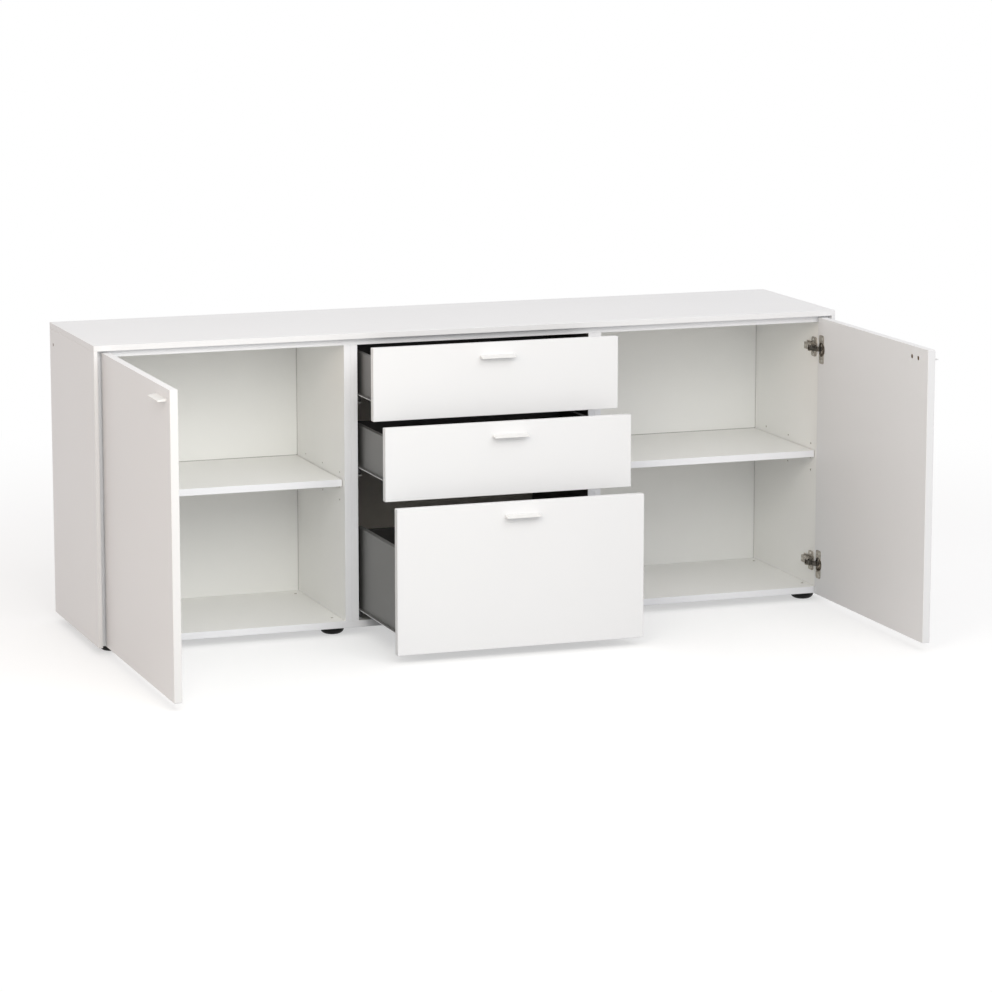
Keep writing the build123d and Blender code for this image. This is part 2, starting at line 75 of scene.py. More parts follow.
# %% [markdown]
# ## Wiring nodes
#
# Every finish below is a small net of shader nodes. A few helpers keep the nets short to read. The first
# ones each add a single node: any node with its sockets filled, a sum, a smooth step from one value to
# another, a mix of two colours, or a grey made from one value.


# %% Helpers for single nodes
def add_node(tree, kind, values=None, **settings):
    node = tree.nodes.new(kind)
    for key, value in settings.items():
        setattr(node, key, value)
    for socket, value in (values or {}).items():
        if isinstance(value, bpy.types.NodeSocket):
            tree.links.new(value, node.inputs[socket])
        else:
            node.inputs[socket].default_value = value
    return node


def number(tree, operation, first, second=0.0, third=0.0, clamp=False):
    values = {0: first, 1: second, 2: third}
    return add_node(tree, "ShaderNodeMath", values, operation=operation, use_clamp=clamp).outputs[0]


def spread(tree, value, low, high, to_low=0.0, to_high=1.0):
    values = {"Value": value, "From Min": low, "From Max": high, "To Min": to_low, "To Max": to_high}
    return add_node(tree, "ShaderNodeMapRange", values, interpolation_type="SMOOTHSTEP").outputs[0]


def mix_colour(tree, factor, first, second, blend="MIX"):
    values = {0: factor, 6: first, 7: second}
    return add_node(tree, "ShaderNodeMix", values, data_type="RGBA", blend_type=blend).outputs[2]


def grey(tree, value):
    return add_node(tree, "ShaderNodeCombineColor", {0: value, 1: value, 2: value}).outputs[0]


print("single node helpers ready")

# %% [markdown]
# The next ones start a material, make a node group with named sockets, and place such a group in a
# material. A group is built once and used by many materials, each with its own values. The last two read
# the place of a point on its object, and lay a fine relief over a surface.


# %% Helpers for groups and materials
def new_material(name):
    material = bpy.data.materials.new(name)
    material.use_nodes = True
    tree = material.node_tree
    return material, tree, tree.nodes["Principled BSDF"]


def new_group(name, inputs, outputs):
    group = bpy.data.node_groups.new(name, "ShaderNodeTree")
    for label, kind, value in inputs:
        socket = group.interface.new_socket(label, in_out="INPUT", socket_type="NodeSocket" + kind)
        socket.default_value = value
    for label, kind in outputs:
        group.interface.new_socket(label, in_out="OUTPUT", socket_type="NodeSocket" + kind)
    return group, group.nodes.new("NodeGroupInput").outputs, group.nodes.new("NodeGroupOutput").inputs


def use_group(tree, group, values):
    return add_node(tree, "ShaderNodeGroup", values, node_tree=group).outputs


def object_place(tree):
    return add_node(tree, "ShaderNodeTexCoord").outputs["Object"]


def lay_relief(tree, face, height, strength, distance):
    bump = add_node(tree, "ShaderNodeBump", {"Strength": strength, "Distance": distance, "Height": height})
    tree.links.new(bump.outputs[0], face.inputs["Normal"])


print("group and material helpers ready")

# %% [markdown]
# ## The studio
#
# The picture has a pure white ground. Floor and world show white to the camera and to reflections, while
# the light that falls on the sideboard stays at a plain level, a shade warmer than white.


# %% Make the white world
def seen_directly(tree):
    path = add_node(tree, "ShaderNodeLightPath").outputs
    total = number(tree, "ADD", path["Is Camera Ray"], path["Is Glossy Ray"])
    return number(tree, "ADD", total, path["Is Transmission Ray"], clamp=True)


ambient = 0.715
ambient_tint = (1.0, 0.982, 0.982, 1.0)
pure_white = (1.0, 1.0, 1.0, 1.0)
world = bpy.data.worlds.new("white_studio")
world.use_nodes = True
bpy.context.scene.world = world
tree = world.node_tree
sky = tree.nodes["Background"]
seen = seen_directly(tree)
tree.links.new(mix_colour(tree, seen, ambient_tint, pure_white), sky.inputs["Color"])
tree.links.new(spread(tree, seen, 0.0, 1.0, ambient, 1.0), sky.inputs["Strength"])
print("world with ambient light", ambient)

# %% [markdown]
# Near the sideboard the floor is an ordinary pale floor, lifted a little for the camera, so that it keeps a
# soft shadow under the feet. Further out it fades to white.

# %% Lay the floor
floor_half = 70.0
bm = bmesh.new()
bmesh.ops.create_grid(bm, x_segments=2, y_segments=2, size=floor_half)
floor_mesh = bpy.data.meshes.new("studio_floor")
bm.to_mesh(floor_mesh)
bm.free()
floor = bpy.data.objects.new("studio_floor", floor_mesh)
bpy.context.scene.collection.objects.link(floor)

floor_lift = 0.52
fade_start, fade_end = 1.6, 3.2
floor_paint, tree, paint = new_material("studio_floor_paint")
paint.inputs["Base Color"].default_value = (0.5, 0.5, 0.5, 1.0)
paint.inputs["Roughness"].default_value = 0.8
paint.inputs["Specular IOR Level"].default_value = 0.1
seen = seen_directly(tree)
glow = add_node(tree, "ShaderNodeEmission", {"Color": pure_white, "Strength": 1.0})
lift = add_node(tree, "ShaderNodeEmission", {"Strength": number(tree, "MULTIPLY", seen, floor_lift)})
lifted = add_node(tree, "ShaderNodeAddShader", {0: paint.outputs[0], 1: lift.outputs[0]})
away = add_node(tree, "ShaderNodeVectorMath", {0: object_place(tree)}, operation="LENGTH").outputs["Value"]
fade = number(tree, "MULTIPLY", spread(tree, away, fade_start, fade_end), seen)
ground = add_node(tree, "ShaderNodeMixShader", {0: fade, 1: lifted.outputs[0], 2: glow.outputs[0]})
tree.links.new(ground.outputs[0], tree.nodes["Material Output"].inputs["Surface"])
floor_mesh.materials.append(floor_paint)
print("floor", 2 * floor_half, "m wide")

# %% [markdown]
# The handles throw a faint shadow down and a little to the left, so the key lamp hung in front, a little to
# the right and high up, and it was large and soft. The insides are bright and even, so there was a low soft
# box in front too. Whatever faces left is a touch warmer than the fronts, so the lamp on the left was warm.
# The left compartment is lighter than the right one, although its door shades it, so a small lamp stood
# close in front of it. Each lamp is given by where it comes from and how far away it is.


# %% Hang the soft boxes
def soft_box(name, turn, rise, wide, high, watts, colour, distance=6.0, target=(0.0, 0.0, 0.35)):
    turn, rise = math.radians(turn), math.radians(rise)
    flat = math.cos(rise)
    towards = Vector((math.sin(turn) * flat, -math.cos(turn) * flat, math.sin(rise)))
    lamp = bpy.data.lights.new(name, "AREA")
    lamp.shape = "RECTANGLE"
    lamp.size = wide
    lamp.size_y = high
    lamp.energy = watts
    lamp.color = colour
    hung = bpy.data.objects.new(name, lamp)
    hung.location = towards * distance + Vector(target)
    hung.rotation_euler = towards.to_track_quat("Z", "Y").to_euler()
    hung.visible_camera = False
    bpy.context.scene.collection.objects.link(hung)
    print(name, watts, "W at", tuple(round(v, 2) for v in hung.location))


left_compartment = (-0.55, 0.1, 0.35)
soft_box("key_soft_box", turn=12.0, rise=40.0, wide=4.2, high=3.4, watts=98.0, colour=(1.0, 1.0, 1.0))
soft_box("front_soft_box", turn=0.0, rise=14.0, wide=3.0, high=2.0, watts=27.0, colour=(0.9, 0.97, 1.0))
soft_box("side_soft_box", turn=-70.0, rise=15.0, wide=3.0, high=2.4, watts=30.0, colour=(1.0, 0.58, 0.28))
soft_box("near_soft_box", turn=-14.0, rise=28.0, wide=1.0, high=1.0, watts=15.5, colour=(1.0, 0.985, 0.9),
         distance=2.34, target=left_compartment)

# %% [markdown]
# ## Faced board
#
# The white boards are chipboard under a melamine skin: not a flat paint, but a satin skin pressed with a
# fine pearl, with a slow drift in shade where the sheet was printed. The pearl is about half a millimetre
# across. It could be an image, but noise in object coordinates has no seams and no tiles.

# %% The pearl of a pressed skin, as a group
drift_per_metre = 5.0
fleck_share = 0.6
cloudy_gloss, grainy_gloss = 0.16, 0.1
pearl_inputs = [("Grain", "Float", 0.0006), ("Drift", "Float", 0.02), ("Polish", "Float", 0.42)]
pearl_outputs = [("Shade", "Float"), ("Roughness", "Float"), ("Height", "Float")]
pearl_group, given, result = new_group("pressed_pearl", pearl_inputs, pearl_outputs)
tree = pearl_group
place = object_place(tree)
per_metre = number(tree, "DIVIDE", 1.0, given["Grain"])
fine_noise = {"Vector": place, "Scale": per_metre, "Detail": 2.0}
slow_noise = {"Vector": place, "Scale": drift_per_metre, "Detail": 3.0}
fine = add_node(tree, "ShaderNodeTexNoise", fine_noise).outputs[0]
slow = add_node(tree, "ShaderNodeTexNoise", slow_noise).outputs[0]
fine_swing = number(tree, "SUBTRACT", fine, 0.5)
slow_swing = number(tree, "SUBTRACT", slow, 0.5)
drift = number(tree, "MULTIPLY", slow_swing, given["Drift"])
fleck = number(tree, "MULTIPLY", fine_swing, number(tree, "MULTIPLY", given["Drift"], fleck_share))
tree.links.new(number(tree, "ADD", number(tree, "ADD", 1.0, drift), fleck), result["Shade"])
uneven = number(tree, "MULTIPLY_ADD", slow_swing, cloudy_gloss, given["Polish"])
tree.links.new(number(tree, "MULTIPLY_ADD", fine_swing, grainy_gloss, uneven), result["Roughness"])
tree.links.new(fine, result["Height"])
print("group", pearl_group.name, "with", len(tree.nodes), "nodes")

# %% [markdown]
# Each board's edges are closed with a thin tape of the same white. Its joint shows as a hairline just in
# from the edge. It follows the distance to the nearest edge of the board's own box, which is the middle one
# of the distances to its three pairs of faces. The smallest of the three is how far a point lies below the
# skin: it is nought on every face, so wherever it is not, there is a drilled hole, and raw chipboard shows.

# %% The taped edges and drilled holes of a board, as a group
hairline = 0.00025
skin_from, skin_to = 0.0005, 0.0008
tape_inputs = [("Low", "Vector", (0, 0, 0)), ("High", "Vector", (1, 1, 1)), ("Tape", "Float", 0.0014)]
tape_outputs = [("Joint", "Float"), ("Drilled", "Float")]
tape_group, given, result = new_group("taped_edges", tape_inputs, tape_outputs)
tree = tape_group
place = object_place(tree)
from_low = add_node(tree, "ShaderNodeVectorMath", {0: place, 1: given["Low"]}, operation="SUBTRACT")
from_high = add_node(tree, "ShaderNodeVectorMath", {0: given["High"], 1: place}, operation="SUBTRACT")
both_ways = {0: from_low.outputs[0], 1: from_high.outputs[0]}
nearest = add_node(tree, "ShaderNodeVectorMath", both_ways, operation="MINIMUM").outputs[0]
x, y, z = add_node(tree, "ShaderNodeSeparateXYZ", {0: nearest}).outputs
lesser = number(tree, "MINIMUM", x, y)
greater = number(tree, "MAXIMUM", x, y)
inwards = number(tree, "MAXIMUM", lesser, number(tree, "MINIMUM", greater, z))
off_joint = number(tree, "ABSOLUTE", number(tree, "SUBTRACT", inwards, given["Tape"]))
tree.links.new(spread(tree, off_joint, 0.0, hairline, 1.0, 0.0), result["Joint"])
below_skin = number(tree, "MINIMUM", lesser, z)
tree.links.new(spread(tree, below_skin, skin_from, skin_to), result["Drilled"])
print("group", tape_group.name, "with", len(tree.nodes), "nodes")

# %% [markdown]
# One function puts both groups into a board's material. A board may have a front tape of another white, and a
# shelf's ends and back edge are bare chipboard. A drawer's two sides are one node, so the box does not show
# their holes; instead, the faces that look at each other carry a painted shade, a near-black that stands for
# the shade inside the drawer.


# %% Finish one board with both groups
blur = 0.0002
pearl_grain, pearl_relief = 0.0006, 0.00003
joint_shade = 0.10
tape_reach = 0.0008
painted_shade_reach = 0.0003
drawer_board = 0.012
chip_dark, chip_light = (0.12, 0.075, 0.045, 1.0), (0.3, 0.2, 0.12, 1.0)


def bare_chipboard(tree, drilled, across, depth, low, high, bare_ends):
    if not bare_ends:
        return drilled
    middle, half_length = (low.x + high.x) / 2, (high.x - low.x) / 2
    from_middle = number(tree, "ABSOLUTE", number(tree, "SUBTRACT", across, middle))
    end = spread(tree, from_middle, half_length - 2 * blur, half_length - blur)
    rear = spread(tree, depth, high.y - 2 * blur, high.y - blur)
    return number(tree, "MAXIMUM", drilled, number(tree, "MAXIMUM", end, rear))


def board_finish(node, colour, polish, drift=0.02, front_tape=None, painted_shade_lining=None, bare_ends=False):
    low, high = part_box(node)
    material, tree, face = new_material(node + "_skin")
    pearl = use_group(tree, pearl_group, {"Grain": pearl_grain, "Drift": drift, "Polish": polish})
    tape = use_group(tree, tape_group, {"Low": tuple(low), "High": tuple(high)})
    across, depth, _ = add_node(tree, "ShaderNodeSeparateXYZ", {0: object_place(tree)}).outputs
    skin = (*colour, 1.0)
    if front_tape:
        taped = spread(tree, depth, low.y + tape_reach, low.y + tape_reach + blur, 1.0, 0.0)
        skin = mix_colour(tree, taped, skin, (*front_tape, 1.0))
    # painted shade: the faces of the drawer sides that look at each other get a near-black for the shade inside
    # the box
    if painted_shade_lining:
        painted_shade_start = high.x - drawer_board + painted_shade_reach
        outside = spread(tree, number(tree, "ABSOLUTE", across), painted_shade_start, painted_shade_start + painted_shade_reach)
        skin = mix_colour(tree, outside, (*painted_shade_lining, 1.0), skin)
    else:
        bare = bare_chipboard(tree, tape["Drilled"], across, depth, low, high, bare_ends)
        skin = mix_colour(tree, bare, skin, mix_colour(tree, pearl["Height"], chip_dark, chip_light))
    shade = number(tree, "SUBTRACT", pearl["Shade"], number(tree, "MULTIPLY", tape["Joint"], joint_shade))
    tree.links.new(mix_colour(tree, 1.0, skin, grey(tree, shade), "MULTIPLY"), face.inputs["Base Color"])
    tree.links.new(pearl["Roughness"], face.inputs["Roughness"])
    lay_relief(tree, face, pearl["Height"], 0.5, pearl_relief)
    return material


def dress(node, material):
    slots = nodes[node].data.materials
    slots.clear()
    slots.append(material)


print("board finish ready")

# %% [markdown]
# The outside is a cool white. The free edge of the left door is taped in a duller one, a painted shade that
# holds down the light the edge catches. The insides of the two door compartments carry painted light: a
# lighter, warmer copy of the same white, with cool front edges.

# %% Dress the white boards
drawers = ("top", "middle", "bottom")
white = (0.802, 0.805, 0.815)
painted_shade_tape = (0.735, 0.735, 0.74)
outer_polish = 0.40
for node in ("top_plate", "left_cover_panel", "right_cover_panel", "right_door_panel"):
    dress(node, board_finish(node, white, outer_polish))
# painted shade: the left door's free edge gets a duller tape, to hold down the light it catches
dress("left_door_panel", board_finish("left_door_panel", white, outer_polish, front_tape=painted_shade_tape))
for drawer in drawers:
    dress(drawer + "_drawer_front", board_finish(drawer + "_drawer_front", white, outer_polish))

# painted light: the inner boards are a lighter, warmer copy of the outer white, to brighten the insides
painted_light_white = (0.94, 0.938, 0.918)
edge_white = (0.9, 0.905, 0.93)
inner_polish = 0.46
for node in ("left_carcass_side", "right_carcass_side", "carcass_top", "carcass_bottom", "left_partition",
             "right_partition"):
    dress(node, board_finish(node, painted_light_white, inner_polish, front_tape=edge_white))
for node in ("left_shelf", "right_shelf"):
    dress(node, board_finish(node, painted_light_white, inner_polish, front_tape=edge_white, bare_ends=True))
print("white boards dressed")

# %% [markdown]
# The drawers are graphite outside; inside they carry a painted shade, a near-black for the shade in the boxes.
# The uprights beside them carry a painted shade too: a near-black anthracite for the shade in the narrow gaps
# beside the drawers, with the same cool front edge as the other inner boards.

# %% Dress the dark boards
graphite = (0.19, 0.19, 0.188)
painted_shade_black = (0.035, 0.034, 0.033)
drawer_polish = 0.5
for drawer in drawers:
    sides = drawer + "_drawer_sides"
    dress(sides, board_finish(sides, graphite, drawer_polish, drift=0.06, painted_shade_lining=painted_shade_black))
    # painted shade: drawer backs and bottoms are near-black for the shade inside the box
    for node in (drawer + "_drawer_back", drawer + "_drawer_bottom"):
        dress(node, board_finish(node, painted_shade_black, drawer_polish, drift=0.1))

# painted shade: the bay uprights are near-black for the shade in the gaps beside the drawers
painted_shade_anthracite = (0.06, 0.056, 0.052)
bay_polish = 0.55
for node in ("left_bay_panel", "right_bay_panel"):
    dress(node, board_finish(node, painted_shade_anthracite, bay_polish, drift=0.08, front_tape=edge_white))
print("dark boards dressed")

# %% [markdown]
# ## Back panels
#
# The backs are thin fibreboard, printed on the side that faces into the sideboard and raw behind. One material
# does both: it tells the two faces apart by how deep they lie. Where an upright or a shelf meets the back, a
# thin dark line of painted shade stands for the shade in the crease.


# %% Finish the back panels
print_depth = 0.001
print_gloss, raw_gloss = 0.5, 0.8
fibre_per_metre, fibre_relief = 900.0, 0.00005
fibre_dark, fibre_light = (0.24, 0.15, 0.09, 1.0), (0.34, 0.23, 0.14, 1.0)
crease_shade_from, crease_shade_to, crease_shade_strength = 0.0006, 0.0018, 0.6
painted_crease_shade = (0.12, 0.1, 0.08, 1.0)


def back_finish(node, colour, upright_creases=(), shelf_creases=()):
    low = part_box(node)[0]
    material, tree, face = new_material(node + "_fibreboard")
    pearl = use_group(tree, pearl_group, {"Grain": 0.0008, "Drift": 0.03})
    place = object_place(tree)
    across, depth, height = add_node(tree, "ShaderNodeSeparateXYZ", {0: place}).outputs
    print_side = mix_colour(tree, 1.0, (*colour, 1.0), grey(tree, pearl["Shade"]), "MULTIPLY")
    # painted shade: a thin dark line where an upright or a shelf meets the back
    for along, crease in [(across, x) for x in upright_creases] + [(height, z) for z in shelf_creases]:
        from_crease = number(tree, "ABSOLUTE", number(tree, "SUBTRACT", along, crease))
        crease_shade_line = spread(tree, from_crease, crease_shade_from, crease_shade_to, crease_shade_strength, 0.0)
        print_side = mix_colour(tree, crease_shade_line, print_side, painted_crease_shade)
    fibre_noise = {"Vector": place, "Scale": fibre_per_metre, "Detail": 4.0}
    fibre = add_node(tree, "ShaderNodeTexNoise", fibre_noise).outputs[0]
    raw_side = mix_colour(tree, spread(tree, fibre, 0.35, 0.65), fibre_dark, fibre_light)
    raw = spread(tree, depth, low.y + print_depth, low.y + print_depth + blur)
    tree.links.new(mix_colour(tree, raw, print_side, raw_side), face.inputs["Base Color"])
    tree.links.new(spread(tree, raw, 0.0, 1.0, print_gloss, raw_gloss), face.inputs["Roughness"])
    lay_relief(tree, face, fibre, 0.4, fibre_relief)
    return material


print_white = (0.885, 0.883, 0.865)
# painted shade: the centre back, deep in the drawer bay, is a duller, warmer copy of the printed white
shade_dulled_white = (0.8, 0.75, 0.68)
shelf_top = (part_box("left_shelf")[1].z,)
left_creases = (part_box("left_carcass_side")[1].x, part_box("left_partition")[0].x)
right_creases = (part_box("right_partition")[1].x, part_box("right_carcass_side")[0].x)
dress("left_back_panel", back_finish("left_back_panel", print_white, left_creases, shelf_top))
dress("right_back_panel", back_finish("right_back_panel", print_white, right_creases, shelf_top))
dress("centre_back_panel", back_finish("centre_back_panel", shade_dulled_white))
print("back panels dressed, with seams at", left_creases, right_creases, shelf_top)

# %% [markdown]
# ## Metal and plastic
#
# The fittings are pressed steel and moulded plastic. Plated steel keeps faint drawing lines and a cloudy
# gloss; powder coat has an orange peel; plastic has a fine spark-eroded grain. They share one group that
# gives a slow cloud and a fine grain at a size that each finish chooses.

# %% A fitting's cloud and grain, as a group
cloud_inputs = [("Grain", "Float", 0.0004), ("Cloud", "Float", 0.02), ("Stretch", "Vector", (1, 1, 1))]
cloud_outputs = [("Cloud", "Float"), ("Grain", "Float")]
cloud_group, given, result = new_group("fitting_surface", cloud_inputs, cloud_outputs)
tree = cloud_group
place = object_place(tree)
stretched = {0: place, 1: given["Stretch"]}
drawn = add_node(tree, "ShaderNodeVectorMath", stretched, operation="MULTIPLY").outputs[0]
cloud_scale = number(tree, "DIVIDE", 1.0, given["Cloud"])
grain_scale = number(tree, "DIVIDE", 1.0, given["Grain"])
cloud_noise = {"Vector": place, "Scale": cloud_scale, "Detail": 3.0}
grain_noise = {"Vector": drawn, "Scale": grain_scale, "Detail": 2.0}
tree.links.new(add_node(tree, "ShaderNodeTexNoise", cloud_noise).outputs[0], result["Cloud"])
tree.links.new(add_node(tree, "ShaderNodeTexNoise", grain_noise).outputs[0], result["Grain"])
print("group", cloud_group.name, "with", len(tree.nodes), "nodes")

# %% [markdown]
# Each finish swings between a dark and a light colour and between a smooth and a dull gloss. Grain and
# relief are in metres. A stretch below 1 along y draws the grain out into lines along the runners.


# %% Mix the finishes
def fitting_finish(name, dark, light, smooth, dull, metallic, grain, relief, stretch=(1, 1, 1), shine=0.5):
    material, tree, face = new_material(name)
    surface = use_group(tree, cloud_group, {"Grain": grain, "Cloud": 0.012, "Stretch": stretch})
    clouds = spread(tree, surface["Cloud"], 0.3, 0.7)
    tree.links.new(mix_colour(tree, clouds, (*dark, 1.0), (*light, 1.0)), face.inputs["Base Color"])
    both = number(tree, "MULTIPLY_ADD", surface["Grain"], 0.5, number(tree, "MULTIPLY", clouds, 0.5))
    tree.links.new(spread(tree, both, 0.2, 0.8, smooth, dull), face.inputs["Roughness"])
    face.inputs["Metallic"].default_value = metallic
    face.inputs["Specular IOR Level"].default_value = shine
    lay_relief(tree, face, surface["Grain"], 0.5, relief)
    return material


powder_coat = fitting_finish("white_powder_coat", (0.76, 0.76, 0.755), (0.8, 0.8, 0.795), smooth=0.3, dull=0.45,
                             metallic=0.0, grain=0.0009, relief=0.00004)
nickel = fitting_finish("nickel_plate", (0.36, 0.33, 0.29), (0.52, 0.48, 0.43), smooth=0.22, dull=0.42,
                        metallic=1.0, grain=0.0003, relief=0.00001, stretch=(1, 0.2, 1))
rail_coat = fitting_finish("rail_coat", (0.5, 0.51, 0.52), (0.6, 0.61, 0.62), smooth=0.35, dull=0.5,
                           metallic=0.3, grain=0.0006, relief=0.00002, stretch=(1, 0.15, 1))
painted_shade_nickel = fitting_finish("painted_shade_nickel_plate", (0.06, 0.055, 0.048), (0.13, 0.12, 0.105), smooth=0.25,
                             dull=0.45, metallic=0.9, grain=0.0003, relief=0.00001)
zinc = fitting_finish("zinc_plate", (0.55, 0.53, 0.48), (0.68, 0.66, 0.62), smooth=0.25, dull=0.4,
                      metallic=1.0, grain=0.0003, relief=0.00001)
roller_moulding = fitting_finish("roller_moulding", (0.02, 0.02, 0.02), (0.04, 0.04, 0.04), smooth=0.3,
                                 dull=0.45, metallic=0.0, grain=0.0005, relief=0.00002)
foot_moulding = fitting_finish("foot_moulding", (0.005, 0.005, 0.005), (0.012, 0.012, 0.012), smooth=0.45,
                               dull=0.65, metallic=0.0, grain=0.0007, relief=0.00004, shine=0.2)
print("fitting finishes mixed")

# %% [markdown]
# The hinges are nickel, and their links carry a painted shade, a dark nickel that stands for the shade inside
# the hinge cups. Screws and pins are zinc, the handles are coated white, and the rollers and feet are black
# mouldings.

# %% Dress the fittings
for node in ("hinge_plates", "hinge_arms", "left_hinge_cups", "right_hinge_cups"):
    dress(node, nickel)
# painted shade: the links get a dark nickel for the shade inside the hinge cups
for node in ("left_hinge_links", "right_hinge_links"):
    dress(node, painted_shade_nickel)
for node in ("hinge_screws", "hinge_arm_pins", "left_door_screws", "right_door_screws", "shelf_pins"):
    dress(node, zinc)
for node in ("left_door_handle", "right_door_handle"):
    dress(node, powder_coat)
dress("cabinet_rails", rail_coat)
dress("levelling_feet", foot_moulding)
for drawer in drawers:
    dress(drawer + "_drawer_screws", zinc)
    dress(drawer + "_drawer_handle", powder_coat)
    dress(drawer + "_front_rollers", roller_moulding)
    dress(drawer + "_rear_rollers", roller_moulding)
print("fittings dressed")

# %% [markdown]
# The strip under each drawer side is coated like the side, and its outer edge carries a painted highlight, a
# bright line where the edge catches the light. The distance from the middle of the sideboard, which is the size
# of x, finds that edge on both sides at once. The axle of the rear roller stands a little proud of the strip,
# so the edge lies just inside the node's box.


# %% Coat the strips under the drawers
axle_proud = 0.00045
highlight_from, highlight_to = 0.0011, 0.0006
painted_highlight = (0.82, 0.82, 0.83, 1.0)
coat_dark, coat_light = (0.13, 0.13, 0.128, 1.0), (0.2, 0.2, 0.198, 1.0)


def strip_finish(node):
    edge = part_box(node)[1].x - axle_proud
    material, tree, face = new_material(node + "_coat")
    surface = use_group(tree, cloud_group, {"Grain": 0.0006, "Cloud": 0.02, "Stretch": (1, 0.15, 1)})
    across = add_node(tree, "ShaderNodeSeparateXYZ", {0: object_place(tree)}).outputs[0]
    # painted highlight: a bright line along the strip's outer edge
    highlight_mask = spread(tree, number(tree, "ABSOLUTE", across), edge - highlight_from, edge - highlight_to)
    coat = mix_colour(tree, surface["Cloud"], coat_dark, coat_light)
    tree.links.new(mix_colour(tree, highlight_mask, coat, painted_highlight), face.inputs["Base Color"])
    tree.links.new(spread(tree, surface["Grain"], 0.3, 0.7, 0.35, 0.5), face.inputs["Roughness"])
    lay_relief(tree, face, surface["Grain"], 0.5, 0.00002)
    return material


for drawer in drawers:
    dress(drawer + "_drawer_rails", strip_finish(drawer + "_drawer_rails"))
print("strips dressed")

# %% [markdown]
# ## Gathering small pieces
#
# Screws and rollers come in sets, and each set is one object that rides on one body. Every screw is shaped
# in a bmesh of its own, because an operator on a shared one could move its neighbours, and is then added to
# its set. An angle limit keeps crisp edges crisp and lets the round ones shade smoothly.


# %% Gather small pieces into one object
crisp_angle = math.radians(32.0)


def add_to(group, bm):
    loose = bpy.data.meshes.new("loose_piece")
    bm.to_mesh(loose)
    bm.free()
    group.from_mesh(loose)
    bpy.data.meshes.remove(loose)


def make_piece(name, bm, material, body, slot, *replaced):
    bmesh.ops.recalc_face_normals(bm, faces=bm.faces)
    mesh = bpy.data.meshes.new(name)
    bm.to_mesh(mesh)
    bm.free()
    mesh.shade_smooth()
    mesh.set_sharp_from_angle(angle=crisp_angle)
    mesh.materials.append(material)
    piece = bpy.data.objects.new(name, mesh)
    bpy.context.scene.collection.objects.link(piece)
    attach(piece, body)
    if replaced:
        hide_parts(*replaced)
    print(name, "on", body, "with", len(mesh.polygons), "faces")


print("sets ready")

# %% [markdown]
# ## Screws
#
# The solids have plain screw heads. A real one is domed and has a cross in it, and no two stop at the same
# angle. Half of a screw's outline is spun about its axis, which gives the shank and the dome with a hole in
# the middle, where the cross will go.


# %% Spin a screw's shank and head
spin_steps = 24
same_place = 0.000001


def spin_screw(head_radius, head_height, shank_radius, shank_length):
    bm = bmesh.new()
    outline = [(0.0, -shank_length), (shank_radius, 0.9 * shank_radius - shank_length), (shank_radius, 0.0),
               (head_radius, 0.0), (head_radius, 0.35 * head_height), (0.88 * head_radius, 0.8 * head_height),
               (0.66 * head_radius, head_height)]
    corners = [bm.verts.new((radius, 0.0, height)) for radius, height in outline]
    edges = [bm.edges.new(pair) for pair in zip(corners, corners[1:])]
    bmesh.ops.spin(bm, geom=corners + edges, cent=(0, 0, 0), axis=(0, 0, 1), angle=2 * math.pi,
                   steps=spin_steps, use_merge=True)
    bmesh.ops.remove_doubles(bm, verts=bm.verts, dist=same_place)
    return bm


print("screws are spun in", spin_steps, "steps")

# %% [markdown]
# The cross could be cut with a boolean, but twelve corners do it without one. The flat between the hole and
# the cross is filled with triangles, and the cross is then pushed down into the head, narrowing a little
# towards its floor. Last, the screw is turned to its angle and set in its seat.


# %% Cut the cross and set the screw in its place
cross_reach, cross_half, cross_depth, cross_taper = 0.55, 0.14, 0.35, 0.7


def cut_cross(bm, head_radius, head_height):
    rim = [edge for edge in bm.edges if edge.is_boundary]
    reach, half = cross_reach * head_radius, cross_half * head_radius
    cross = [(reach, -half), (reach, half), (half, half), (half, reach), (-half, reach), (-half, half),
             (-reach, half), (-reach, -half), (-half, -half), (-half, -reach), (half, -reach), (half, -half)]
    corners = [bm.verts.new((x, y, head_height)) for x, y in cross]
    cross_edges = [bm.edges.new(pair) for pair in zip(corners, corners[1:] + corners[:1])]
    bmesh.ops.triangle_fill(bm, edges=rim + cross_edges, use_beauty=True)
    pushed = bmesh.ops.extrude_edge_only(bm, edges=cross_edges)["geom"]
    floor_corners = [item for item in pushed if isinstance(item, bmesh.types.BMVert)]
    floor_edges = [edge for edge in bm.edges if edge.is_boundary]
    bmesh.ops.translate(bm, vec=(0, 0, -cross_depth * head_radius), verts=floor_corners)
    bmesh.ops.scale(bm, vec=(cross_taper, cross_taper, 1), verts=floor_corners)
    bmesh.ops.edgeloop_fill(bm, edges=floor_edges)


def cut_screw(group, seat, outward, turn, head_radius, head_height, shank_radius, shank_length):
    bm = spin_screw(head_radius, head_height, shank_radius, shank_length)
    cut_cross(bm, head_radius, head_height)
    upright = Vector(outward).to_track_quat("Z", "Y").to_matrix().to_4x4()
    place = Matrix.Translation(seat) @ upright @ Matrix.Rotation(turn, 4, "Z")
    bmesh.ops.transform(bm, matrix=place, verts=bm.verts)
    add_to(group, bm)


print("screw maker ready")

# %% [markdown]
# Each cross plate has a screw above and below its arm, each hinge cup one on either side of the cup, and
# each door handle two that come through the door from behind. The tail of each arm also carries the two
# screws that set the door straight.

